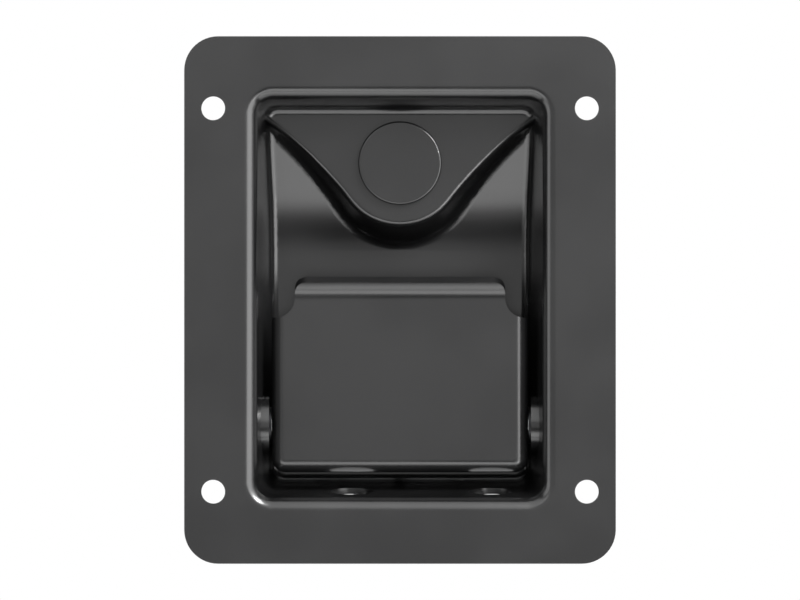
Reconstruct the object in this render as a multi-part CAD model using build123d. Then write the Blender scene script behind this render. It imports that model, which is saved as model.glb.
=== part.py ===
from build123d import *
import math
import os

# Flush paddle handle latch, in millimetres.
# X runs to the right, Z up, and Y from the front of the door into it.
# The origin is the centre of the screw pattern on the flange's back face.
# "Depth" always means the distance behind the flange's front face.

# ---- pan: one drawn sheet -------------------------------------------------
sheet = 1.6               # sheet of the pan
flange_width = 114.3
flange_height = 139.7
flange_corner = 9.0
screw_spacing_x = 99.0
screw_spacing_z = 101.6
screw_hole = 6.35

mouth_width = 83.0        # recess opening, between the flat ends of the lip
mouth_height = 112.8
mouth_centre_z = 0.5
mouth_corner = 7.6
lip_radius = 3.7
wall_draft = 6.0          # degrees
recess_depth = 31.0
floor_radius = 2.4

# ---- raised V boss and the ramps beside it --------------------------------
plateau_depth = 18.0
boss_centre_z = 36.8      # centre of the lock plug and of the V's round tip
boss_radius = 16.9        # round tip, at the sharp edge of the plateau
boss_arm_angle = 52.0     # degrees from the horizontal where an arm leaves the tip
boss_arm_end_x = 37.0     # where an arm runs out through the side wall
boss_arm_end_z = 49.0
boss_draft = 17.0
boss_edge_radius = 2.0
boss_foot_radius = 3.6
ramp_start_z = 20.5
ramp_angle = 19.0
ramp_bend_radius = 57.0

# ---- lock plug ------------------------------------------------------------
plug_diameter = 22.4
plug_proud = 2.2
plug_edge = 0.6
plug_stem_diameter = 16.0
plug_fit = 0.05           # radial, stem in the plateau's hole
plug_stem_length = 6.5    # behind the plateau's front face
plug_clip_thickness = 0.8
plug_clip_diameter = 24.0
plug_bore_diameter = 12.0

# ---- pivot ----------------------------------------------------------------
pivot_depth = 17.0
pivot_z = -33.7
pin_diameter = 5.0
pin_fit = 0.05            # radial, pin in what turns on it
seat_fit = 0.02           # radial, pin in what it stands still in
side_boss_radius = 7.9
side_boss_inner_x = 35.0
pin_head_diameter = 8.5
pin_head_thickness = 1.6
pin_end_length = 2.6      # pin beyond the boss, for the push nut
push_nut_diameter = 9.5
push_nut_thickness = 0.9
washer_diameter = 10.0
washer_thickness = 0.5
washer_gap = 0.2          # between washer and paddle

# ---- paddle: one drawn and folded sheet -----------------------------------
paddle_sheet = 1.9
paddle_face_depth = 8.5
paddle_bottom_z = -46.1
paddle_shoulder_z = -4.7
paddle_bend_radius = 3.5
paddle_plan_corner = 3.8
paddle_skirt_depth = 15.5
paddle_ear_radius = 6.5
tab_half_width = 28.05
tab_bend_z = 0.0
tab_bend_radius = 6.6
tab_bend_angle = 47.0
tab_corner_radius = 3.7
tab_notch_radius = 5.2
paddle_swing = 35.0       # degrees, closed to fully open

# ---- trip lever -----------------------------------------------------------
lever_thickness = 3.0
lever_hub_radius = 5.5
tongue_half_height = 2.6
tongue_reach = 25.0       # tongue tip behind the pivot
lever_foot_width = 15.0
lever_side_gap = 0.75     # each side of the lever in the floor slot
lever_foot_bottom_z = -30.0
lever_foot_top_z = -12.0
sleeve_diameter = 8.0
sleeve_end_gap = 0.3
slot_clearance = 1.0

# ---- latch behind the floor -----------------------------------------------
bolt_width = 25.4
bolt_thickness = 9.5
bolt_gap = 0.35           # running clearance round the bolt
bolt_travel = 12.6
bolt_nose_z = -66.0
bolt_top_z = -14.5
bolt_nose_angle = 40.0
bolt_nose_corner = 1.2
bolt_window_width = 8.0
stem_diameter = 5.0
stem_seat_length = 10.0
stem_clearance = 0.3      # radial, stem in the housing's top tab
stem_clip_diameter = 9.0
stem_clip_thickness = 0.8
housing_sheet = 1.9
housing_bottom_z = -46.5
housing_top_z = 10.0
housing_foot_width = 11.0
housing_bend_radius = 1.0
rivet_diameter = 4.0
rivet_head_diameter = 7.5
rivet_head_thickness = 1.2
rivet_spacing_z = 38.0
rivet_centre_z = -21.0

# ---- springs --------------------------------------------------------------
bolt_spring_wire = 1.0
bolt_spring_inner = 6.2
bolt_spring_turns = 7
torsion_wire = 1.4
torsion_inner = 8.5
torsion_turns = 4         # whole turns
torsion_leg = 8.0         # leg on the paddle
torsion_back_angle = 45.0 # degrees, where the floor leg leaves the coil
torsion_lever_gap = 2.5   # from the lever's foot to the coil
leg_gap = 0.2             # between a leg and what it presses

# ---- rod holes in the bottom wall -----------------------------------------
rod_hole_diameter = 11.7
rod_hole_xs = (-12.9, 24.5)
rod_hole_depth = 13.0

# ---- worked out from the sizes above --------------------------------------
pivot_y = pivot_depth - sheet
floor_back_y = recess_depth
paddle_half_width = side_boss_inner_x - washer_thickness - washer_gap
plateau_y = plateau_depth - sheet
bolt_front_y = floor_back_y + bolt_gap
bolt_back_y = bolt_front_y + bolt_thickness
bolt_mid_y = (bolt_front_y + bolt_back_y) / 2
housing_inner_x = bolt_width / 2 + bolt_gap
housing_outer_x = housing_inner_x + housing_sheet
housing_inner_y = bolt_back_y + bolt_gap
housing_outer_y = housing_inner_y + housing_sheet
stem_top_z = housing_top_z + 3.0
torsion_start_x = lever_foot_width - lever_thickness / 2 + torsion_lever_gap


def at_depth(depth):
    """Plane facing the front at a depth behind the flange's front face."""
    return Plane.XZ.offset(sheet - depth)


def wall_inset(depth):
    """How far the drafted wall stands inside the mouth at a depth."""
    start = lip_radius * math.cos(math.radians(wall_draft))
    curved = lip_radius * (1 - math.sin(math.radians(wall_draft)))
    return start + (depth - curved) * math.tan(math.radians(wall_draft))


def bar_x(radius, x_from, x_to, y=pivot_y, z=pivot_z):
    """Round bar along X between two stations, on the pivot unless told otherwise."""
    plane = Plane(origin=(x_from, y, z), x_dir=(0, 1, 0), z_dir=(1, 0, 0))
    return extrude(plane * Circle(radius), x_to - x_from)


def bar_y(radius, x, z, y_from, y_to):
    """Round bar along Y between two depths."""
    return extrude(Plane.XZ.offset(-y_from) * Pos(x, z) * Circle(radius), -(y_to - y_from))


def bar_z(radius, x, y, z_from, z_to):
    """Round bar along Z between two heights."""
    return extrude(Plane.XY.offset(z_from) * Pos(x, y) * Circle(radius), z_to - z_from)


def block(x_from, x_to, y_from, y_to, z_from, z_to):
    """Plain block between two corners."""
    size = (x_to - x_from, y_to - y_from, z_to - z_from)
    middle = ((x_from + x_to) / 2, (y_from + y_to) / 2, (z_from + z_to) / 2)
    return Pos(*middle) * Box(*size)


def plate_x(points, x_from, x_to):
    """Plate in the YZ plane with a pointed outline of (y, z) corners."""
    plane = Plane(origin=(x_from, 0, 0), x_dir=(0, 1, 0), z_dir=(1, 0, 0))
    return extrude(plane * Polygon(*points, align=None), x_to - x_from, dir=(1, 0, 0))


def side_walls(grow):
    """Prism along Z between the two drafted side walls."""
    slope = math.cos(math.radians(wall_draft))
    plane = Plane.XY.offset(-90)
    rim = mouth_width / 2 - wall_inset(-2) + grow / slope
    deep = recess_depth + 10
    base = mouth_width / 2 - wall_inset(deep) + grow / slope
    outline = Polygon(
        (-rim, -2 - sheet), (rim, -2 - sheet), (base, deep - sheet), (-base, deep - sheet),
        align=None,
    )
    return extrude(plane * outline, 180, dir=(0, 0, 1))


def floor_and_ends(grow):
    """Prism along X with the top and bottom walls, the floor and the ramp beside the boss."""
    slope = math.cos(math.radians(wall_draft))
    draft = math.tan(math.radians(wall_draft))
    tilt = math.tan(math.radians(ramp_angle))
    rim_y = -2 - sheet
    rim = mouth_height / 2 - wall_inset(-2) + grow / slope
    floor_y = recess_depth - sheet + grow
    bottom_z = mouth_centre_z - rim + (floor_y - rim_y) * draft
    bend_z = ramp_start_z + grow * math.tan(math.radians(ramp_angle / 2))
    top_rim_z = mouth_centre_z + rim
    # the ramp line and the top wall line meet where both give the same depth
    rise = (top_rim_z - bend_z - (floor_y - rim_y) * draft) / (1 - tilt * draft)
    ramp_end = (floor_y - rise * tilt, bend_z + rise)
    outline = Polygon(
        (rim_y, mouth_centre_z - rim), (floor_y, bottom_z), (floor_y, bend_z), ramp_end,
        (rim_y, top_rim_z), align=None,
    )
    plane = Plane(origin=(-60, 0, 0), x_dir=(0, 1, 0), z_dir=(1, 0, 0))
    profile = plane * outline
    bend = profile.vertices().sort_by_distance((-60, floor_y, bend_z))[0]
    return extrude(fillet(bend, ramp_bend_radius + grow), 120, dir=(1, 0, 0))


def well(grow):
    """Drafted recess with rounded corners, without its boss."""
    form = side_walls(grow) & floor_and_ends(grow)
    corners = [
        edge for edge in form.edges()
        if abs((edge @ 0.5).X) > 30 and abs((edge @ 0).Y - (edge @ 1).Y) > 20
    ]
    return fillet(corners, mouth_corner - lip_radius + grow)


def boss_outline(spread):
    """V with a round tip, moved outwards by spread, closed above the recess."""
    angle = math.radians(boss_arm_angle)
    radius = boss_radius + spread
    tip = (0, boss_centre_z - radius)
    side = (radius * math.sin(angle), boss_centre_z - radius * math.cos(angle))
    chord = math.atan2(boss_arm_end_z - boss_centre_z + boss_radius * math.cos(angle),
                       boss_arm_end_x - boss_radius * math.sin(angle))
    end_angle = 2 * chord - angle
    end = (boss_arm_end_x + spread * math.sin(end_angle),
           boss_arm_end_z - spread * math.cos(end_angle))
    mirror_side = (-side[0], side[1])
    mirror_end = (-end[0], end[1])
    direction = (math.cos(angle), math.sin(angle))
    with BuildSketch() as outline:
        with BuildLine():
            ThreePointArc(mirror_side, tip, side)
            TangentArc(side, end, tangent=direction)
            Polyline(end, (end[0], 90), (mirror_end[0], 90), mirror_end)
            TangentArc(mirror_side, mirror_end, tangent=(-direction[0], direction[1]))
        make_face()
    return outline.sketch


def boss(grow):
    """Raised V: a drafted block that fills the top of the recess up to the plateau."""
    tilt = math.radians(boss_draft)
    top = plateau_depth + grow
    foot = recess_depth + 6
    shrink = -grow * (1 / math.cos(tilt) - math.tan(tilt))
    top_face = at_depth(top) * boss_outline(shrink)
    foot_face = at_depth(foot) * boss_outline(shrink + (foot - top) * math.tan(tilt))
    block_form = loft([top_face, foot_face], ruled=True)
    rim = [
        edge for edge in block_form.edges()
        if edge.geom_type == GeomType.CIRCLE and lies_at(edge, plateau_y + grow)
    ]
    return round_over(block_form, rim, max(boss_edge_radius - grow, sheet / 4))


def lies_at(edge, y):
    """True where an edge lies in the plane at this Y."""
    return all(abs((edge @ step).Y - y) < 0.01 for step in (0, 0.5, 1))


def round_over(form, edges, radius):
    """Fillet that takes a smaller radius where a changed size leaves too little room."""
    for share in (1, 0.8, 0.6, 0.4, 0.2):
        try:
            rounded = fillet(edges, radius * share)
        except Exception:
            continue
        if rounded.is_valid:
            return rounded
    return form


def rim_of_plateau(grow):
    """Material that rounds the plateau into the walls round it."""
    shallow = well(grow) & block(-60, 60, -20, plateau_y + grow, -90, 90)
    corner = [edge for edge in shallow.edges() if lies_at(edge, plateau_y + grow)]
    shallow = round_over(shallow, corner, floor_radius + grow)
    inset = boss_outline(-0.75 * boss_edge_radius)
    prism = extrude(Plane.XZ.offset(20) * inset, -(20 + plateau_y + grow + sheet / 2))
    return prism - shallow


def floor_corner_edges(form):
    """Edges where the floor and ramps meet the walls of a plain recess."""
    found = []
    for edge in form.edges():
        middle = edge @ 0.5
        along_bend = abs(middle.X) < 1 and 0 < middle.Z < boss_centre_z + boss_radius / 2
        if min((edge @ step).Y for step in (0, 0.5, 1)) > 0 and not along_bend:
            found.append(edge)
    return found


def boss_foot_edges(form, grow):
    """Edges where the slope of the raised V meets the floor and the ramps."""
    found = []
    for edge in form.edges():
        middle = edge @ 0.5
        deep = min((edge @ step).Y for step in (0, 0.5, 1)) > plateau_y + grow + 1.5
        inside = abs(middle.X) < side_boss_inner_x - 0.5 and 5 < middle.Z
        if deep and inside and edge.geom_type in (GeomType.ELLIPSE, GeomType.BSPLINE):
            found.append(edge)
    return found


def recess_form(grow):
    """The recess as a solid: grown by 0 it is the hollow, by the sheet it is the outside."""
    plain = well(grow)
    form = plain - boss(grow)
    form = round_over(form, boss_foot_edges(form, grow), boss_foot_radius + grow)
    form = form & round_over(plain, floor_corner_edges(plain), floor_radius + grow)
    form = form - rim_of_plateau(grow)
    side = bar_x(side_boss_radius - grow, side_boss_inner_x + grow, 60)
    return form - side - mirror(side, Plane.YZ)


def make_pan():
    """Drawn pan: flange, rolled lip, drafted recess, raised V, pivot bosses and holes."""
    blank = RectangleRounded(flange_width, flange_height, flange_corner)
    flange = extrude(at_depth(0) * blank, -sheet)
    pan = flange + (recess_form(sheet) & block(-60, 60, -sheet / 2, 60, -90, 90))
    back_lip = [edge for edge in pan.edges()
                if lies_at(edge, 0) and abs((edge @ 0.5).X) < mouth_width / 2 + sheet
                and abs((edge @ 0.5).Z) < mouth_height / 2 + sheet]
    pan = round_over(pan, back_lip, lip_radius - sheet)
    pan = pan - recess_form(0)
    front_lip = [edge for edge in pan.edges()
                 if lies_at(edge, -sheet) and abs((edge @ 0.5).X) < mouth_width / 2
                 and abs((edge @ 0.5).Z) < mouth_height / 2 + 1]
    pan = round_over(pan, front_lip, lip_radius)
    for x in (-screw_spacing_x / 2, screw_spacing_x / 2):
        for z in (-screw_spacing_z / 2, screw_spacing_z / 2):
            pan -= bar_y(screw_hole / 2, x, z, -5, 5)
    pan -= bar_x(pin_diameter / 2 + seat_fit, -60, 60)
    stem_hole = plug_stem_diameter / 2 + plug_fit
    pan -= bar_y(stem_hole, 0, boss_centre_z, plateau_y - 2, plateau_y + 5)
    for x in rod_hole_xs:
        pan -= bar_z(rod_hole_diameter / 2, x, rod_hole_depth - sheet, -60, -45)
    for x, z in rivet_places():
        pan -= bar_y(rivet_diameter / 2 + seat_fit, x, z, recess_depth - 5, recess_depth + 5)
    slot_half = lever_thickness / 2 + lever_side_gap
    swing = math.radians(paddle_swing)
    reach = floor_back_y - pivot_y
    slot_top = reach * math.tan(swing) + tongue_half_height / math.cos(swing) + slot_clearance
    slot_bottom = tongue_half_height + slot_clearance
    pan -= block(-slot_half, slot_half, recess_depth - 5, recess_depth + 5,
                 pivot_z - slot_bottom, pivot_z + slot_top)
    return pan


def make_paddle():
    """Paddle: drawn face with side and bottom skirts, pivot ears and a flared pull lip."""
    face_y = paddle_face_depth - sheet
    back_y = face_y + paddle_sheet
    shell = paddle_box(0) - paddle_box(paddle_sheet)
    low = paddle_bottom_z - 2
    front = block_outline(paddle_half_width + 1, low, paddle_shoulder_z)
    front += block_outline(tab_half_width, low, tab_bend_z + 1)
    notch = [point for point in front.vertices()
             if abs(abs(point.X) - tab_half_width) < 0.01
             and abs(point.Y - paddle_shoulder_z) < 0.01]
    front = fillet(notch, tab_notch_radius)
    shell = shell & extrude(Plane.XZ * front, 80, both=True)
    skirt_y = paddle_skirt_depth - sheet
    profile_plane = Plane(origin=(-60, 0, 0), x_dir=(0, 1, 0), z_dir=(1, 0, 0))
    skirt = Polygon((0, -60), (skirt_y, -60), (skirt_y, 10), (0, 10), align=None)
    skirt += Pos(pivot_y, pivot_z) * Circle(paddle_ear_radius)
    joins = [point for point in skirt.vertices() if abs(point.X - skirt_y) < 0.01
             and abs(point.Y - pivot_z) < paddle_ear_radius + 1]
    skirt = fillet(joins, 3)
    shell = shell & extrude(profile_plane * skirt, 120, dir=(1, 0, 0))
    paddle = shell + paddle_lip(face_y, back_y)
    return paddle - bar_x(pin_diameter / 2 + pin_fit, -60, 60)


def block_outline(half_width, low, high):
    """Flat rectangle about the centre line between two heights."""
    middle = (low + high) / 2
    return Pos(0, middle) * Rectangle(2 * half_width, high - low)


def paddle_box(inset):
    """Rounded box of the paddle, set in by a thickness; open at the top and the back."""
    front_y = paddle_face_depth - sheet + inset
    half = paddle_half_width - inset
    low = paddle_bottom_z + inset
    box = block(-half, half, front_y, 40, low, tab_bend_z)
    corners = [edge for edge in box.edges()
               if abs(abs((edge @ 0.5).X) - half) < 0.01 and abs((edge @ 0.5).Z - low) < 0.01
               and abs((edge @ 0).Y - (edge @ 1).Y) > 1]
    box = round_over(box, corners, paddle_plan_corner - inset)
    bends = [edge for edge in box.edges()
             if lies_at(edge, front_y) and (edge @ 0.5).Z < tab_bend_z - 1]
    return round_over(box, bends, paddle_bend_radius - inset)


def paddle_lip(face_y, back_y):
    """Flared lip at the paddle's top, with rounded corners."""
    swing = math.radians(tab_bend_angle)
    inner = tab_bend_radius
    outer = tab_bend_radius + paddle_sheet
    centre_y = face_y - inner

    def on_arc(radius, share):
        angle = swing * share
        return (centre_y + radius * math.cos(angle), tab_bend_z + radius * math.sin(angle))

    with BuildSketch() as section:
        with BuildLine():
            ThreePointArc(on_arc(inner, 0), on_arc(inner, 0.5), on_arc(inner, 1))
            Line(on_arc(inner, 1), on_arc(outer, 1))
            ThreePointArc(on_arc(outer, 1), on_arc(outer, 0.5), on_arc(outer, 0))
            Line(on_arc(outer, 0), on_arc(inner, 0))
        make_face()
    plane = Plane(origin=(-tab_half_width, 0, 0), x_dir=(0, 1, 0), z_dir=(1, 0, 0))
    lip = extrude(plane * section.sketch, 2 * tab_half_width, dir=(1, 0, 0))
    tip = on_arc((inner + outer) / 2, 1)
    corners = lip.edges().sort_by_distance((tab_half_width, tip[0], tip[1]))[:1]
    corners += lip.edges().sort_by_distance((-tab_half_width, tip[0], tip[1]))[:1]
    return round_over(lip, corners, tab_corner_radius)


def make_trip_lever():
    """Stamped lever on the pin: a foot on the paddle's back and a tongue through the floor."""
    half = lever_thickness / 2
    back_y = paddle_face_depth - sheet + paddle_sheet
    foot_y = back_y + lever_thickness
    tip_y = pivot_y + tongue_reach - tongue_half_height
    arm = plate_x(
        [(back_y + lever_thickness / 2, lever_foot_bottom_z), (pivot_y, pivot_z - lever_hub_radius),
         (pivot_y + lever_hub_radius * 0.7, pivot_z), (foot_y + 2, lever_foot_top_z),
         (back_y + lever_thickness / 2, lever_foot_top_z)], -half, half)
    hub = bar_x(lever_hub_radius, -half, half)
    tongue = block(-half, half, pivot_y, tip_y,
                   pivot_z - tongue_half_height, pivot_z + tongue_half_height)
    tip = bar_x(tongue_half_height, -half, half, y=tip_y)
    foot = block(-half, lever_foot_width - half, back_y, foot_y,
                 lever_foot_bottom_z, lever_foot_top_z)
    fold = foot.edges().filter_by(Axis.Z).sort_by_distance((-half, back_y, pivot_z))[:1]
    foot = round_over(foot, fold, lever_thickness * 0.8)
    lever = arm + hub + tongue + tip + foot
    return lever - bar_x(pin_diameter / 2 + pin_fit, -60, 60)


def make_slam_bolt():
    """Sliding bolt with a ramped nose, a window for the tongue and a bore for its stem."""
    half = bolt_width / 2
    ramp = bolt_thickness * 0.75
    rise = ramp / math.tan(math.radians(bolt_nose_angle))
    body = plate_x(
        [(bolt_front_y, bolt_top_z), (bolt_back_y, bolt_top_z),
         (bolt_back_y, bolt_nose_z + rise), (bolt_back_y - ramp, bolt_nose_z),
         (bolt_front_y, bolt_nose_z)], -half, half)
    body = round_over(body, body.edges().filter_by(Axis.Y), bolt_nose_corner)
    swing = math.radians(paddle_swing)
    lag = bolt_travel - (bolt_front_y - pivot_y) * math.tan(swing)
    window_bottom = lag + tongue_half_height / math.cos(swing) + slot_clearance
    window_top = tongue_half_height + 1.3 * slot_clearance
    window = block(-bolt_window_width / 2, bolt_window_width / 2, bolt_front_y - 1,
                   bolt_back_y + 1, pivot_z - window_bottom, pivot_z + window_top)
    bore = bar_z(stem_diameter / 2 + seat_fit, 0, bolt_mid_y,
                 bolt_top_z - stem_seat_length, bolt_top_z + 1)
    return body - window - bore


def make_bolt_stem():
    """Stem that stands in the bolt and guides its spring through the housing's top tab."""
    stem = bar_z(stem_diameter / 2, 0, bolt_mid_y, bolt_top_z - stem_seat_length, stem_top_z)
    ends = stem.edges().filter_by(GeomType.CIRCLE).sort_by(Axis.Z)
    return chamfer(ends, 0.5)


def make_stem_clip():
    """Ring clip on the stem that stops the bolt on the housing's top tab."""
    low = housing_top_z + bolt_gap
    disc = bar_z(stem_clip_diameter / 2, 0, bolt_mid_y, low, low + stem_clip_thickness)
    hole = bar_z(stem_diameter / 2 + seat_fit, 0, bolt_mid_y, low - 1, low + 3)
    return disc - hole


def make_latch_housing():
    """Folded hat-section housing that carries the bolt, with a tab across its top."""
    foot_y = floor_back_y + housing_sheet / 2
    roof_y = housing_inner_y + housing_sheet / 2
    wall_x = housing_inner_x + housing_sheet / 2
    end_x = housing_outer_x + housing_foot_width
    with BuildSketch(Plane.XY.offset(housing_bottom_z)) as hat:
        with BuildLine():
            middle = FilletPolyline(
                (-end_x, foot_y), (-wall_x, foot_y), (-wall_x, roof_y),
                (wall_x, roof_y), (wall_x, foot_y), (end_x, foot_y),
                radius=housing_bend_radius + housing_sheet / 2)
        trace(middle, housing_sheet)
    housing = extrude(hat.sketch, housing_top_z - housing_bottom_z)
    outer = [edge for edge in housing.edges().filter_by(Axis.Y)
             if abs((edge @ 0.5).X) > end_x - 1]
    housing = round_over(housing, outer, 3)
    tab = block(-bolt_width / 2, bolt_width / 2, bolt_front_y + 1, housing_inner_y + 0.2,
                housing_top_z - housing_sheet, housing_top_z)
    housing += tab
    housing -= bar_z(stem_diameter / 2 + stem_clearance, 0, bolt_mid_y,
                     housing_top_z - 5, housing_top_z + 5)
    for x, z in rivet_places():
        housing -= bar_y(rivet_diameter / 2 + seat_fit, x, z, recess_depth - 5, recess_depth + 5)
    return housing


def rivet_places():
    """Centres of the four housing rivets."""
    x = housing_outer_x + housing_foot_width / 2
    low = rivet_centre_z - rivet_spacing_z / 2
    return [(-x, low), (x, low), (-x, low + rivet_spacing_z), (x, low + rivet_spacing_z)]


def make_rivet(x, z):
    """Domed rivet through the floor and a housing foot, with its set end behind."""
    floor_y = floor_back_y - sheet
    back_y = floor_back_y + housing_sheet
    shank = bar_y(rivet_diameter / 2, x, z, floor_y, back_y)
    head = bar_y(rivet_head_diameter / 2, x, z, floor_y - rivet_head_thickness, floor_y)
    head_rim = head.edges().filter_by(GeomType.CIRCLE).sort_by(Axis.Y)[:1]
    head = round_over(head, head_rim, rivet_head_thickness * 0.8)
    tail = bar_y(rivet_head_diameter / 2 - 0.5, x, z, back_y, back_y + rivet_head_thickness)
    tail_rim = tail.edges().filter_by(GeomType.CIRCLE).sort_by(Axis.Y)[-1:]
    tail = round_over(tail, tail_rim, rivet_head_thickness * 0.8)
    return shank + head + tail


def make_lock_plug():
    """Plug of the lock hole: a proud disc on a hollow stem through the plateau."""
    disc = bar_y(plug_diameter / 2, 0, boss_centre_z, plateau_y - plug_proud, plateau_y)
    rim = disc.edges().filter_by(GeomType.CIRCLE).sort_by(Axis.Y)[:1]
    disc = round_over(disc, rim, plug_edge)
    back_y = plateau_y + plug_stem_length
    stem = bar_y(plug_stem_diameter / 2, 0, boss_centre_z, plateau_y, back_y)
    bore = bar_y(plug_bore_diameter / 2, 0, boss_centre_z, plateau_y, back_y + 1)
    return disc + stem - bore


def make_lock_plug_clip():
    """Dished ring pressed on the plug's stem behind the plateau."""
    front_y = plateau_y + sheet
    ring = bar_y(plug_clip_diameter / 2, 0, boss_centre_z, front_y, front_y + plug_clip_thickness)
    rim = ring.edges().filter_by(GeomType.CIRCLE).sort_by(Axis.Y)[-1:]
    ring = round_over(ring, rim, plug_clip_thickness / 2)
    hole = bar_y(plug_stem_diameter / 2 + seat_fit, 0, boss_centre_z, front_y - 1, front_y + 3)
    return ring - hole


def make_pivot_pin():
    """Headed pin across the pan."""
    seat_x = side_boss_inner_x + sheet
    shaft = bar_x(pin_diameter / 2, -seat_x, seat_x + pin_end_length)
    end = shaft.edges().filter_by(GeomType.CIRCLE).sort_by(Axis.X)[-1:]
    shaft = chamfer(end, 0.6)
    head = bar_x(pin_head_diameter / 2, -seat_x - pin_head_thickness, -seat_x)
    rim = head.edges().filter_by(GeomType.CIRCLE).sort_by(Axis.X)[:1]
    return shaft + round_over(head, rim, pin_head_thickness * 0.7)


def ring_x(outer, inner, x_from, x_to):
    """Plain ring on the pivot axis."""
    return bar_x(outer, x_from, x_to) - bar_x(inner, x_from - 1, x_to + 1)


def make_push_nut():
    """Push nut on the pin's plain end."""
    seat_x = side_boss_inner_x + sheet
    nut = ring_x(push_nut_diameter / 2, pin_diameter / 2 + seat_fit,
                 seat_x, seat_x + push_nut_thickness)
    rim = nut.edges().filter_by(GeomType.CIRCLE).sort_by(Axis.X)[-1:]
    return round_over(nut, rim, push_nut_thickness / 3)


def make_washer():
    """Right washer between the pivot boss and the paddle's ear."""
    return ring_x(washer_diameter / 2, pin_diameter / 2 + seat_fit,
                  side_boss_inner_x - washer_thickness, side_boss_inner_x)


def make_sleeve():
    """Right sleeve on the pin that spaces the lever and carries the torsion spring."""
    start = lever_thickness / 2 + sleeve_end_gap
    end = paddle_half_width - paddle_sheet - sleeve_end_gap
    sleeve = ring_x(sleeve_diameter / 2, pin_diameter / 2 + seat_fit, start, end)
    return chamfer(sleeve.edges().filter_by(GeomType.CIRCLE).sort_by(Axis.X)[-2:-1], 0.4)


def make_torsion_spring():
    """Right torsion spring: a close coil that turns with the paddle between it and the floor."""
    radius = (torsion_inner + torsion_wire) / 2
    room_front = pivot_y - (paddle_face_depth - sheet + paddle_sheet) - torsion_wire / 2 - leg_gap
    room_back = floor_back_y - sheet - pivot_y - leg_gap
    # the front leg leaves the coil so that its tip just clears the paddle's back
    lean = math.atan2(torsion_leg, radius)
    front_angle = math.pi - math.asin(room_front / math.hypot(radius, torsion_leg)) - lean
    back_angle = -math.radians(torsion_back_angle)
    # the back leg's outer corner meets the floor's face only in mid swing
    back_leg = math.sqrt(room_back ** 2 - (radius + torsion_wire / 2) ** 2)
    turns = torsion_turns + (front_angle - back_angle) / (2 * math.pi)
    pitch = torsion_wire * 1.12
    coil = Helix(pitch=pitch, height=pitch * turns, radius=radius)
    back = Line(coil @ 0 - (coil % 0) * back_leg, coil @ 0)
    front = Line(coil @ 1, coil @ 1 + (coil % 1) * torsion_leg)
    path = Wire([back, coil.edges()[0], front])
    section = Plane(origin=path @ 0, z_dir=path % 0) * Circle(torsion_wire / 2)
    spring = Rot(0, 0, math.degrees(back_angle)) * sweep(section, path=path)
    place = Plane(origin=(torsion_start_x, pivot_y, pivot_z), x_dir=(0, 0, 1), z_dir=(1, 0, 0))
    return place.location * spring


def make_bolt_spring():
    """Compression spring round the stem, between the bolt and the housing's top tab."""
    radius = (bolt_spring_inner + bolt_spring_wire) / 2
    low = bolt_top_z + bolt_spring_wire / 2
    high = housing_top_z - housing_sheet - bolt_spring_wire / 2
    coil = Helix(pitch=(high - low) / bolt_spring_turns, height=high - low, radius=radius)
    start = coil @ 0
    section = Plane(origin=start, z_dir=coil % 0) * Circle(bolt_spring_wire / 2)
    spring = sweep(section, path=coil, is_frenet=True)
    return Pos(0, bolt_mid_y, low) * spring


if __name__ == "__main__":
    os.makedirs("parts", exist_ok=True)
    single = {
        "pan": make_pan(),
        "paddle": make_paddle(),
        "trip_lever": make_trip_lever(),
        "slam_bolt": make_slam_bolt(),
        "bolt_stem": make_bolt_stem(),
        "stem_clip": make_stem_clip(),
        "bolt_spring": make_bolt_spring(),
        "latch_housing": make_latch_housing(),
        "lock_plug": make_lock_plug(),
        "lock_plug_clip": make_lock_plug_clip(),
        "pivot_pin": make_pivot_pin(),
        "pivot_push_nut": make_push_nut(),
    }
    for name, solid in single.items():
        export_step(solid, f"parts/{name}.step")
        print(name, solid.is_valid, round(solid.volume, 1), len(solid.solids()))
    right_hand = {
        "washer": make_washer(),
        "sleeve": make_sleeve(),
        "torsion_spring": make_torsion_spring(),
    }
    for name, solid in right_hand.items():
        print(name, solid.is_valid, round(solid.volume, 1), len(solid.solids()))
        export_step(solid, f"parts/{name}_right.step")
        export_step(mirror(solid, Plane.YZ), f"parts/{name}_left.step")
    for number, (x, z) in enumerate(rivet_places(), 1):
        export_step(make_rivet(x, z), f"parts/housing_rivet_{number}.step")
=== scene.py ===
"""Dresses a flush paddle handle latch: its finishes, springs and rivets, and the studio."""

import logging
import math
from dataclasses import dataclass, field
from enum import Enum

import bmesh
import bpy
from mathutils import Matrix, Vector


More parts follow.
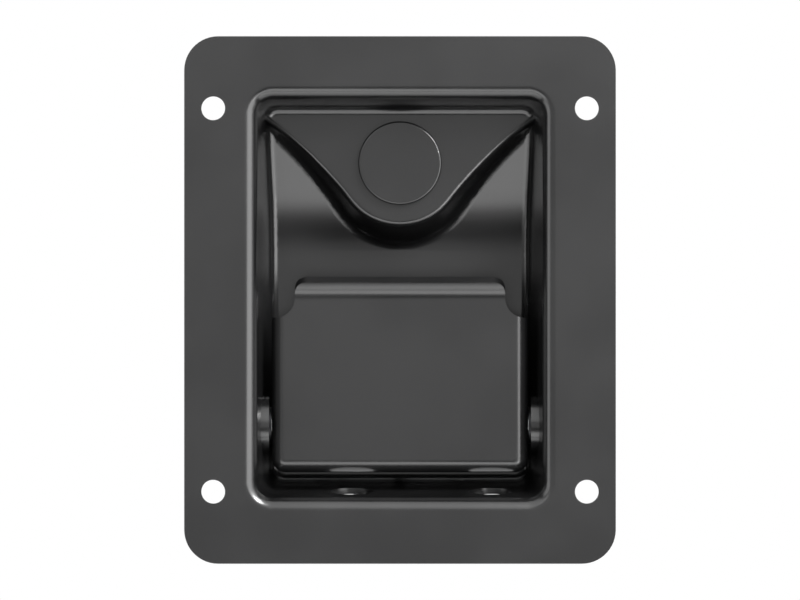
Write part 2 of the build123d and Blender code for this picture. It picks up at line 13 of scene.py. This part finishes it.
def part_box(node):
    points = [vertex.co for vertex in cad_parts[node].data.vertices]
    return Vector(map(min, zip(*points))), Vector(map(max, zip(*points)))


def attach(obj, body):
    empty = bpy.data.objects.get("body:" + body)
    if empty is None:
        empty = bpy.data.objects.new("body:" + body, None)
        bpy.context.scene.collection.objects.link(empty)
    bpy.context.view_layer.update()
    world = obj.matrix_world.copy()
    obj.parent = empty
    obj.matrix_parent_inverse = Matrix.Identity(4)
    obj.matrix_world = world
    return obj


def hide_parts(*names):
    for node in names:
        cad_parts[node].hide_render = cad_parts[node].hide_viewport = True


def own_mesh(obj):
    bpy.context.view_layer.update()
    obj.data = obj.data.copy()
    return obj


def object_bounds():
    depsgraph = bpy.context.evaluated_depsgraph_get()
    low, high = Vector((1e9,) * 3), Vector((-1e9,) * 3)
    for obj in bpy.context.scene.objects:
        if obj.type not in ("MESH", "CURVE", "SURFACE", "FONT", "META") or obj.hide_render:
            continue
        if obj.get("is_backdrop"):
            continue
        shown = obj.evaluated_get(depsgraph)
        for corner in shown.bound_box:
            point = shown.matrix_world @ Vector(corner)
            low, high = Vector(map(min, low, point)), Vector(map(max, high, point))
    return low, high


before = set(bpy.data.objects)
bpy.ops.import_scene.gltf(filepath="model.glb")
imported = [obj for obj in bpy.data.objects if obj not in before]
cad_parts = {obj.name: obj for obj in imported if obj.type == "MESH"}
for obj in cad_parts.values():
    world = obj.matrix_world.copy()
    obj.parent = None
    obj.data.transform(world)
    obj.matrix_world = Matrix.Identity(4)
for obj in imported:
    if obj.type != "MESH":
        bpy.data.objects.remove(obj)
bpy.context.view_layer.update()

LOG = logging.getLogger("flush_latch")

Color = tuple[float, float, float]

WELD_DISTANCE = 2e-6    # metres, between corners of triangles that belong together
SHARP_DEGREES = 32.0    # folds above this angle stay crisp


class Body(Enum):
    """The bodies that a piece can ride on."""

    PAN = "pan_body"
    PADDLE = "paddle_body"
    BOLT = "bolt_body"


class Slot(Enum):
    """The material slots of the record."""

    COAT = "black_coat"
    ZINC = "zinc_steel"
    SPRING = "spring_steel"
    RIVET = "rivet_steel"


# ---------------------------------------------------------------------------
# node tree helpers
# ---------------------------------------------------------------------------


class TreeWriter:
    """Adds nodes and links to a node tree by name."""

    def __init__(self, tree: bpy.types.NodeTree) -> None:
        """Starts on an existing tree.

        Args:
            tree: The node tree that is written to.
        """
        self.tree = tree
        self.column = 0

    def add(self, kind: str, settings: dict | None = None, **inputs: object) -> bpy.types.Node:
        """Adds a node, sets its properties and fills or links its inputs.

        Args:
            kind: Blender's identifier of the node type.
            settings: Properties of the node itself.
            **inputs: Values or output sockets by input name, with _ for a space.

        Returns:
            The new node.
        """
        node = self.tree.nodes.new(kind)
        node.location = (self.column * 180, 0)
        self.column += 1
        for name, value in (settings or {}).items():
            setattr(node, name, value)
        for name, value in inputs.items():
            socket = self.socket(node, name)
            if isinstance(value, bpy.types.NodeSocket):
                self.tree.links.new(value, socket)
            else:
                socket.default_value = value
        return node

    @staticmethod
    def socket(node: bpy.types.Node, name: str) -> bpy.types.NodeSocket:
        """Finds an enabled input by its name or, as _0, _1 and so on, by its place."""
        if name.startswith("_") and name[1:].isdigit():
            return node.inputs[int(name[1:])]
        wanted = name.replace("_", " ")
        for socket in node.inputs:
            if socket.name.lower() == wanted.lower() and socket.enabled:
                return socket
        raise KeyError(f"{node.bl_idname} has no input {wanted}")

    def math(self, operation: str, first: object, second: object = 0.0) -> bpy.types.NodeSocket:
        """Adds a Math node.

        Args:
            operation: The operation's identifier.
            first: The first value or socket.
            second: The second value or socket.

        Returns:
            The result's socket.
        """
        node = self.add("ShaderNodeMath", {"operation": operation}, _0=first, _1=second)
        return node.outputs[0]

    def spread(self, value: bpy.types.NodeSocket, low: float, high: float,
               to_low: float, to_high: float) -> bpy.types.NodeSocket:
        """Maps a range of values to another, smoothly, and stays inside it.

        Args:
            value: The value's socket.
            low: Start of the range it comes from.
            high: End of the range it comes from.
            to_low: Start of the range it goes to.
            to_high: End of the range it goes to.

        Returns:
            The mapped value's socket.
        """
        node = self.add("ShaderNodeMapRange", {"interpolation_type": "SMOOTHSTEP"}, Value=value,
                        From_Min=low, From_Max=high, To_Min=to_low, To_Max=to_high)
        return node.outputs[0]


class SharedEffects:
    """Shader node groups that more than one finish uses, each built once."""

    _groups: dict[str, bpy.types.NodeTree] = {}

    @classmethod
    def _start(cls, name: str, inputs: dict[str, float],
               outputs: list[str]) -> tuple[bpy.types.NodeTree, TreeWriter, bpy.types.Node]:
        """Makes an empty group with float sockets.

        Args:
            name: The group's name.
            inputs: Input names with their first values.
            outputs: Output names.

        Returns:
            The group, a writer for it, and its input node.
        """
        group = bpy.data.node_groups.new(name, "ShaderNodeTree")
        for socket_name, value in inputs.items():
            socket = group.interface.new_socket(socket_name, in_out="INPUT",
                                                socket_type="NodeSocketFloat")
            socket.default_value = value
        for socket_name in outputs:
            group.interface.new_socket(socket_name, in_out="OUTPUT",
                                       socket_type="NodeSocketFloat")
        writer = TreeWriter(group)
        cls._groups[name] = group
        return group, writer, writer.add("NodeGroupInput")

    @classmethod
    def coat_texture(cls) -> bpy.types.NodeTree:
        """Fine skin of a sprayed and baked coat: a height and a slow cloud of tone.

        Returns:
            The node group, with outputs Height and Cloud.
        """
        if "coat_texture" in cls._groups:
            return cls._groups["coat_texture"]
        group, writer, given = cls._start(
            "coat_texture", {"Grain Scale": 2600.0, "Cloud Scale": 38.0}, ["Height", "Cloud"])
        place = writer.add("ShaderNodeTexCoord").outputs["Object"]
        grain = writer.add("ShaderNodeTexNoise", {"noise_dimensions": "3D"}, Vector=place,
                           Scale=given.outputs["Grain Scale"], Detail=3.0, Roughness=0.55)
        ripple = writer.add("ShaderNodeTexNoise", {"noise_dimensions": "3D"}, Vector=place,
                            Scale=writer.math("MULTIPLY", given.outputs["Grain Scale"], 0.22),
                            Detail=1.0, Roughness=0.4)
        cloud = writer.add("ShaderNodeTexNoise", {"noise_dimensions": "3D"}, Vector=place,
                           Scale=given.outputs["Cloud Scale"], Detail=2.0, Roughness=0.5)
        height = writer.math("ADD", writer.math("MULTIPLY", grain.outputs["Fac"], 0.55),
                             writer.math("MULTIPLY", ripple.outputs["Fac"], 0.45))
        writer.add("NodeGroupOutput", None, Height=height, Cloud=cloud.outputs["Fac"])
        return group

    @classmethod
    def metal_grain(cls) -> bpy.types.NodeTree:
        """Drawn or rolled grain of bare steel: streaks along one axis, and dull patches.

        Returns:
            The node group, with outputs Streaks and Patches.
        """
        if "metal_grain" in cls._groups:
            return cls._groups["metal_grain"]
        group, writer, given = cls._start(
            "metal_grain", {"Streak Scale": 900.0, "Patch Scale": 150.0, "Stretch X": 1.0,
                            "Stretch Y": 1.0, "Stretch Z": 1.0}, ["Streaks", "Patches"])
        place = writer.add("ShaderNodeTexCoord").outputs["Object"]
        stretch = writer.add("ShaderNodeCombineXYZ", None, X=given.outputs["Stretch X"],
                             Y=given.outputs["Stretch Y"], Z=given.outputs["Stretch Z"])
        along = writer.add("ShaderNodeVectorMath", {"operation": "MULTIPLY"}, _0=place,
                           _1=stretch.outputs[0])
        streaks = writer.add("ShaderNodeTexNoise", {"noise_dimensions": "3D"},
                             Vector=along.outputs[0], Scale=given.outputs["Streak Scale"],
                             Detail=3.0, Roughness=0.6)
        patches = writer.add("ShaderNodeTexNoise", {"noise_dimensions": "3D"}, Vector=place,
                             Scale=given.outputs["Patch Scale"], Detail=4.0, Roughness=0.6)
        writer.add("NodeGroupOutput", None, Streaks=streaks.outputs["Fac"],
                   Patches=patches.outputs["Fac"])
        return group


# ---------------------------------------------------------------------------
# finishes
# ---------------------------------------------------------------------------


@dataclass(frozen=True)
class SatinBlackCoat:
    """Satin black baked coat on pressed steel."""

    name: str = "satin_black_coat"
    base: Color = (0.0020, 0.0020, 0.0021)
    pale: Color = (0.0032, 0.0032, 0.0033)
    roughness: float = 0.245
    rough_fall: float = 0.012
    rough_rise: float = 0.016
    tone_cloud: tuple[float, float] = (0.35, 0.68)
    rough_cloud: tuple[float, float] = (0.3, 0.7)
    grain_height: float = 0.0000030
    grain_strength: float = 0.08

    def build(self) -> bpy.types.Material:
        """Builds the material.

        Returns:
            The finished material.
        """
        material = new_material(self.name)
        writer = TreeWriter(material.node_tree)
        texture = writer.add("ShaderNodeGroup", {"node_tree": SharedEffects.coat_texture()})
        tone = writer.add("ShaderNodeMix", {"data_type": "RGBA"},
                          _0=writer.spread(texture.outputs["Cloud"], *self.tone_cloud, 0.0, 1.0),
                          _6=(*self.base, 1.0), _7=(*self.pale, 1.0))
        rough = writer.spread(texture.outputs["Cloud"], *self.rough_cloud,
                              self.roughness - self.rough_fall,
                              self.roughness + self.rough_rise)
        bump = writer.add("ShaderNodeBump", None, Strength=self.grain_strength,
                          Distance=self.grain_height, Height=texture.outputs["Height"])
        finish_surface(writer, Base_Color=tone.outputs["Result"], Roughness=rough,
                       Normal=bump.outputs["Normal"], IOR=1.5)
        return material


@dataclass(frozen=True)
class PlatedSteel:
    """Steel with a bright or dulled plate, with a grain along one axis."""

    name: str
    bright: Color
    dull: Color
    roughness: float = 0.3
    stretch: tuple[float, float, float] = (1.0, 1.0, 1.0)
    streak_scale: float = 900.0
    streak_depth: float = 0.16
    dull_patches: tuple[float, float] = (0.38, 0.66)
    grain_height: float = 0.00001
    grain_strength: float = 0.25

    def build(self) -> bpy.types.Material:
        """Builds the material.

        Returns:
            The finished material.
        """
        material = new_material(self.name)
        writer = TreeWriter(material.node_tree)
        grain = writer.add("ShaderNodeGroup", {"node_tree": SharedEffects.metal_grain()},
                           Streak_Scale=self.streak_scale, Stretch_X=self.stretch[0],
                           Stretch_Y=self.stretch[1], Stretch_Z=self.stretch[2])
        tone = writer.add("ShaderNodeMix", {"data_type": "RGBA"},
                          _0=writer.spread(grain.outputs["Patches"], *self.dull_patches, 0.0, 1.0),
                          _6=(*self.bright, 1.0), _7=(*self.dull, 1.0))
        streaks = writer.math("MULTIPLY", grain.outputs["Streaks"], self.streak_depth)
        rough = writer.math("ADD", streaks, self.roughness - self.streak_depth / 2)
        bump = writer.add("ShaderNodeBump", None, Strength=self.grain_strength,
                          Distance=self.grain_height, Height=grain.outputs["Streaks"])
        finish_surface(writer, Base_Color=tone.outputs["Result"], Roughness=rough,
                       Normal=bump.outputs["Normal"], Metallic=1.0)
        return material


def new_material(name: str) -> bpy.types.Material:
    """Makes an empty node material.

    Args:
        name: The material's name.

    Returns:
        The material, with no nodes in it.
    """
    material = bpy.data.materials.new(name)
    material.use_nodes = True
    material.node_tree.nodes.clear()
    return material


def finish_surface(writer: TreeWriter, **inputs: object) -> None:
    """Ends a material's tree with a Principled surface.

    Args:
        writer: Writer of the material's tree.
        **inputs: Values or sockets of the Principled shader.
    """
    surface = writer.add("ShaderNodeBsdfPrincipled", None, **inputs)
    writer.add("ShaderNodeOutputMaterial", None, Surface=surface.outputs[0])


class Finishes:
    """Every finish of the latch, built once."""

    def __init__(self) -> None:
        """Builds the finishes."""
        self.coat = SatinBlackCoat().build()
        self.zinc = PlatedSteel("bright_zinc", (0.62, 0.63, 0.64), (0.47, 0.48, 0.50),
                                stretch=(1.0, 1.0, 0.08)).build()
        self.zinc_bar = PlatedSteel("zinc_bar", (0.60, 0.61, 0.62), (0.45, 0.46, 0.47),
                                    stretch=(0.06, 1.0, 1.0)).build()
        self.spring = PlatedSteel("spring_wire", (0.40, 0.40, 0.41), (0.24, 0.24, 0.25),
                                  roughness=0.34, streak_scale=1500.0).build()
        self.rivet = PlatedSteel("rivet_steel", (0.55, 0.55, 0.56), (0.40, 0.40, 0.41),
                                 roughness=0.36, streak_scale=700.0).build()
        self.black_zinc = PlatedSteel("black_zinc", (0.030, 0.030, 0.032), (0.020, 0.020, 0.021),
                                      roughness=0.38).build()
        self.clip = PlatedSteel("blued_clip", (0.30, 0.30, 0.31), (0.18, 0.18, 0.19),
                                roughness=0.32, streak_scale=800.0).build()


# ---------------------------------------------------------------------------
# mesh helpers
# ---------------------------------------------------------------------------


def link(name: str, mesh: bpy.types.Mesh) -> bpy.types.Object:
    """Puts a mesh in the scene as an object at the origin.

    Args:
        name: The object's name.
        mesh: Its mesh.

    Returns:
        The object.
    """
    piece = bpy.data.objects.new(name, mesh)
    bpy.context.scene.collection.objects.link(piece)
    return piece


def smooth_copy(node: str) -> bpy.types.Mesh:
    """Copies a solid's mesh, joins its loose triangles and shades it by its true curves.

    Args:
        node: The solid's node name.

    Returns:
        The new mesh.
    """
    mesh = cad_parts[node].data.copy()
    mesh.name = f"{node}_mesh"
    shape = bmesh.new()
    shape.from_mesh(mesh)
    bmesh.ops.remove_doubles(shape, verts=shape.verts, dist=WELD_DISTANCE)
    limit = math.radians(SHARP_DEGREES)
    for edge in shape.edges:
        edge.smooth = len(edge.link_faces) == 2 and edge.calc_face_angle(0.0) < limit
    for face in shape.faces:
        face.smooth = True
    shape.to_mesh(mesh)
    shape.free()
    for name in [layer.name for layer in mesh.attributes if layer.name == "custom_normal"]:
        mesh.attributes.remove(mesh.attributes[name])
    return mesh


def evaluated_mesh(carrier: bpy.types.Object, name: str) -> bpy.types.Mesh:
    """Turns what an object's modifiers make into a plain mesh.

    Args:
        carrier: The object with the modifiers.
        name: The new mesh's name.

    Returns:
        The plain mesh.
    """
    bpy.context.view_layer.update()
    graph = bpy.context.evaluated_depsgraph_get()
    mesh = bpy.data.meshes.new_from_object(carrier.evaluated_get(graph), depsgraph=graph)
    mesh.name = name
    return mesh


def dressed_copy(node: str, body: Body, finish: bpy.types.Material) -> bpy.types.Object:
    """Replaces a solid by a smooth-shaded copy with a finish.

    Args:
        node: The solid's node name.
        body: The body it rides on.
        finish: Its material.

    Returns:
        The new piece.
    """
    piece = link(f"{node}_skin", smooth_copy(node))
    piece.data.materials.clear()
    piece.data.materials.append(finish)
    even = piece.modifiers.new("even_normals", "WEIGHTED_NORMAL")
    even.weight = 100
    even.keep_sharp = True
    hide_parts(node)
    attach(piece, body.value)
    LOG.info("piece %s: %d faces", piece.name, len(piece.data.polygons))
    return piece


# ---------------------------------------------------------------------------
# sub-assemblies
# ---------------------------------------------------------------------------


@dataclass
class DrawnPan:
    """The flange and pan, pressed from one sheet and coated black."""

    node: str = "pan"
    slot: Slot = Slot.COAT

    def build(self, finishes: Finishes) -> None:
        """Dresses the pan.

        Args:
            finishes: The finishes to choose from.
        """
        dressed_copy(self.node, Body.PAN, finishes.coat)


@dataclass
class PullPaddle:
    """The paddle and the trip lever fixed in it."""

    def build(self, finishes: Finishes) -> None:
        """Dresses the paddle and its lever.

        Args:
            finishes: The finishes to choose from.
        """
        dressed_copy("paddle", Body.PADDLE, finishes.coat)
        dressed_copy("trip_lever", Body.PADDLE, finishes.zinc)


@dataclass
class LockPlugSet:
    """The plug that fills the lock hole, and its clip."""

    def build(self, finishes: Finishes) -> None:
        """Dresses the plug and its clip.

        Args:
            finishes: The finishes to choose from.
        """
        dressed_copy("lock_plug", Body.PAN, finishes.coat)
        dressed_copy("lock_plug_clip", Body.PAN, finishes.clip)


@dataclass
class PivotSet:
    """Pin, push nut, washers and sleeves on the paddle's axis."""

    zinc_nodes: list[str] = field(default_factory=lambda: [
        "pivot_pin", "sleeve_left", "sleeve_right"])
    washer_nodes: list[str] = field(default_factory=lambda: ["washer_left", "washer_right"])
    clip_nodes: list[str] = field(default_factory=lambda: ["pivot_push_nut"])
    spring_nodes: list[str] = field(default_factory=lambda: [
        "torsion_spring_left", "torsion_spring_right"])

    def build(self, finishes: Finishes) -> None:
        """Dresses the pivot's pieces.

        Args:
            finishes: The finishes to choose from.
        """
        for node in self.zinc_nodes:
            dressed_copy(node, Body.PAN, finishes.zinc_bar)
        for node in self.washer_nodes:
            dressed_copy(node, Body.PAN, finishes.black_zinc)
        for node in self.clip_nodes:
            dressed_copy(node, Body.PAN, finishes.clip)
        for node in self.spring_nodes:
            dressed_copy(node, Body.PADDLE, finishes.spring)


@dataclass
class RivetSquare:
    """The four rivets that hold the housing to the pan, set out as a grid of one shape."""

    nodes: list[str] = field(default_factory=lambda: [
        f"housing_rivet_{number}" for number in range(1, 5)])
    slot: Slot = Slot.RIVET

    def build(self, finishes: Finishes) -> None:
        """Sets out the rivets and dresses them.

        Args:
            finishes: The finishes to choose from.
        """
        boxes = [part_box(node) for node in self.nodes]
        centres = [(Vector(low) + Vector(high)) / 2 for low, high in boxes]
        middle = sum(centres, Vector()) / len(centres)
        spacing = Vector([max(spot[axis] for spot in centres) - min(spot[axis] for spot in centres)
                          for axis in range(3)])
        shape = smooth_copy(self.nodes[0])
        shape.transform(Matrix.Translation(-centres[0]))
        shape.materials.clear()
        pattern = link("rivet_pattern", shape)
        carrier = link("rivet_carrier", bpy.data.meshes.new("rivet_carrier"))
        tree = self.layout_tree()
        modifier = carrier.modifiers.new("rivets", "NODES")
        modifier.node_group = tree
        values = {"Rivet": pattern, "Spacing X": spacing.x, "Spacing Z": spacing.z,
                  "Centre": middle, "Finish": finishes.rivet}
        for item in tree.interface.items_tree:
            if item.item_type == "SOCKET" and item.in_out == "INPUT" and item.name in values:
                modifier[item.identifier] = values[item.name]
        mesh = evaluated_mesh(carrier, "housing_rivets")
        for spare in (carrier, pattern):
            bpy.data.objects.remove(spare)
        piece = link("housing_rivets", mesh)
        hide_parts(*self.nodes)
        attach(piece, Body.PAN.value)
        LOG.info("piece %s: %d faces", piece.name, len(mesh.polygons))

    @staticmethod
    def layout_tree() -> bpy.types.NodeTree:
        """Writes the tree that puts one rivet at each corner of a rectangle.

        Returns:
            The geometry tree.
        """
        tree = bpy.data.node_groups.new("rivet_square", "GeometryNodeTree")
        for name, kind in (("Rivet", "NodeSocketObject"), ("Spacing X", "NodeSocketFloat"),
                           ("Spacing Z", "NodeSocketFloat"), ("Centre", "NodeSocketVector"),
                           ("Finish", "NodeSocketMaterial")):
            tree.interface.new_socket(name, in_out="INPUT", socket_type=kind)
        tree.interface.new_socket("Geometry", in_out="OUTPUT", socket_type="NodeSocketGeometry")
        writer = TreeWriter(tree)
        given = writer.add("NodeGroupInput")
        grid = writer.add("GeometryNodeMeshGrid", None, Vertices_X=2, Vertices_Y=2,
                          Size_X=given.outputs["Spacing X"], Size_Y=given.outputs["Spacing Z"])
        upright = writer.add("GeometryNodeTransform", None, Geometry=grid.outputs["Mesh"],
                             Rotation=(math.radians(90.0), 0.0, 0.0),
                             Translation=given.outputs["Centre"])
        rivet = writer.add("GeometryNodeObjectInfo", {"transform_space": "ORIGINAL"},
                           Object=given.outputs["Rivet"])
        placed = writer.add("GeometryNodeInstanceOnPoints", None,
                            Points=upright.outputs["Geometry"],
                            Instance=rivet.outputs["Geometry"])
        real = writer.add("GeometryNodeRealizeInstances", None,
                          Geometry=placed.outputs["Instances"])
        dressed = writer.add("GeometryNodeSetMaterial", None, Geometry=real.outputs["Geometry"],
                             Material=given.outputs["Finish"])
        writer.add("NodeGroupOutput", None, Geometry=dressed.outputs["Geometry"])
        return tree


@dataclass
class LatchWorks:
    """Housing, slam bolt, stem and springs behind the pan.

    The bolt's travel is in metres, and the squash room is a share of the spring's length.
    """

    travel: float = 0.0126
    squash_room: float = 0.004

    def build(self, finishes: Finishes) -> None:
        """Dresses the latch's pieces.

        Args:
            finishes: The finishes to choose from.
        """
        dressed_copy("latch_housing", Body.PAN, finishes.zinc)
        dressed_copy("slam_bolt", Body.BOLT, finishes.zinc)
        dressed_copy("bolt_stem", Body.BOLT, finishes.zinc)
        dressed_copy("stem_clip", Body.BOLT, finishes.clip)
        spring = dressed_copy("bolt_spring", Body.PAN, finishes.spring)
        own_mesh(spring)
        RivetSquare().build(finishes)


# ---------------------------------------------------------------------------
# studio
# ---------------------------------------------------------------------------


@dataclass(frozen=True)
class Softbox:
    """An area light seen from the latch at two angles, with its width and height there.

    The angles are in degrees from straight in front: across to the right, and up.
    """

    name: str
    across: float
    up: float
    wide: float
    high: float
    radiance: float
    distance: float = 1.6

    def build(self, target: Vector) -> bpy.types.Object:
        """Places the light so that it faces the target.

        Args:
            target: The point it faces.

        Returns:
            The light.
        """
        light = bpy.data.lights.new(self.name, "AREA")
        light.shape = "RECTANGLE"
        light.size = 2 * self.distance * math.tan(math.radians(self.wide / 2))
        light.size_y = 2 * self.distance * math.tan(math.radians(self.high / 2))
        light.energy = self.radiance * light.size * light.size_y * math.pi
        lamp = bpy.data.objects.new(self.name, light)
        across, up = math.radians(self.across), math.radians(self.up)
        way = Vector((math.sin(across) * math.cos(up), -math.cos(across) * math.cos(up),
                      math.sin(up)))
        lamp.location = target + way * self.distance
        lamp.rotation_euler = way.to_track_quat("Z", "Y").to_euler()
        lamp.visible_camera = False
        bpy.context.scene.collection.objects.link(lamp)
        return lamp


@dataclass
class Studio:
    """Pale floor, soft lights, plain world and a long-lens camera straight in front."""

    front_softboxes: list[Softbox] = field(default_factory=lambda: [
        Softbox("fill_front", 0.0, 2.0, 26.0, 21.0, 1.27, distance=2.4),
        Softbox("key_right", 50.0, 4.0, 44.0, 70.0, 6.6),
        Softbox("near_right", 22.0, 0.0, 13.0, 60.0, 1.8),
        Softbox("far_right", 88.0, 0.0, 28.0, 60.0, 1.5, distance=1.3),
        Softbox("strip_left", -66.0, 0.0, 26.0, 70.0, 3.4),
        Softbox("near_left", -32.0, 0.0, 36.0, 60.0, 0.95),
        Softbox("top_soft", 0.0, 46.0, 70.0, 62.0, 2.6),
        Softbox("low_strip", 0.0, -36.0, 80.0, 19.0, 4.7, distance=1.0),
        Softbox("low_mid", 0.0, -58.0, 80.0, 22.0, 1.6, distance=0.75),
        Softbox("hot_corner", 36.0, 36.0, 22.0, 22.0, 60.0, distance=1.3),
    ])
    back_softboxes: list[Softbox] = field(default_factory=lambda: [
        Softbox("back_left", 215.0, 22.0, 40.0, 50.0, 5.0),
        Softbox("back_right", 145.0, 22.0, 40.0, 50.0, 3.8),
        Softbox("back_top", 180.0, 68.0, 50.0, 34.0, 3.5),
    ])
    lens: float = 200.0
    sensor: float = 36.0
    field_width: float = 0.21186
    floor_drop: float = 0.75
    floor_half: float = 0.60
    floor_tone: float = 0.62
    floor_roughness: float = 0.8
    seen_backdrop: float = 0.985
    ambient: float = 0.015

    def build(self) -> None:
        """Builds the studio."""
        low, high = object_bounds()
        centre = Vector((0.0, low.y, 0.0))
        for softbox in self.front_softboxes + self.back_softboxes:
            softbox.build(centre)
        self.place_camera(centre)
        self.lay_floor()
        self.light_world()
        bpy.context.scene.view_settings.view_transform = "Standard"

    def place_camera(self, centre: Vector) -> None:
        """Puts the camera straight in front of the flange.

        Args:
            centre: The point in the flange's front plane that it looks at.
        """
        camera = bpy.data.cameras.new("camera")
        camera.lens = self.lens
        camera.sensor_width = self.sensor
        camera.clip_end = 20.0
        stand = bpy.data.objects.new("camera", camera)
        distance = self.field_width * self.lens / self.sensor
        stand.location = centre + Vector((0.0, -distance, 0.0))
        stand.rotation_euler = (math.radians(90.0), 0.0, 0.0)
        bpy.context.scene.collection.objects.link(stand)
        bpy.context.scene.camera = stand

    def lay_floor(self) -> None:
        """Lays a plain pale floor well below the latch."""
        mesh = bpy.data.meshes.new("floor")
        reach, drop = self.floor_half, -self.floor_drop
        mesh.from_pydata([(-reach, -reach, drop), (reach, -reach, drop), (reach, reach, drop),
                          (-reach, reach, drop)], [], [(0, 1, 2, 3)])
        floor = link("floor", mesh)
        material = new_material("pale_floor")
        writer = TreeWriter(material.node_tree)
        finish_surface(writer, Base_Color=(*[self.floor_tone] * 3, 1.0),
                       Roughness=self.floor_roughness)
        mesh.materials.append(material)
        floor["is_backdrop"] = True

    def light_world(self) -> None:
        """Makes the backdrop white to the camera and dim to the latch."""
        world = bpy.data.worlds.new("studio")
        world.use_nodes = True
        world.node_tree.nodes.clear()
        writer = TreeWriter(world.node_tree)
        seen = writer.add("ShaderNodeLightPath").outputs["Is Camera Ray"]
        strength = writer.math("ADD", writer.math("MULTIPLY", seen, self.seen_backdrop),
                               self.ambient)
        backdrop = writer.add("ShaderNodeBackground", None, Color=(1.0, 1.0, 1.0, 1.0),
                              Strength=strength)
        writer.add("ShaderNodeOutputWorld", None, Surface=backdrop.outputs[0])
        bpy.context.scene.world = world


def main() -> None:
    """Builds every sub-assembly and the studio."""
    logging.basicConfig(level=logging.INFO, format="%(message)s")
    finishes = Finishes()
    for part in (DrawnPan(), PullPaddle(), LockPlugSet(), PivotSet(), LatchWorks()):
        part.build(finishes)
    Studio().build()


if __name__ == "__main__":
    main()
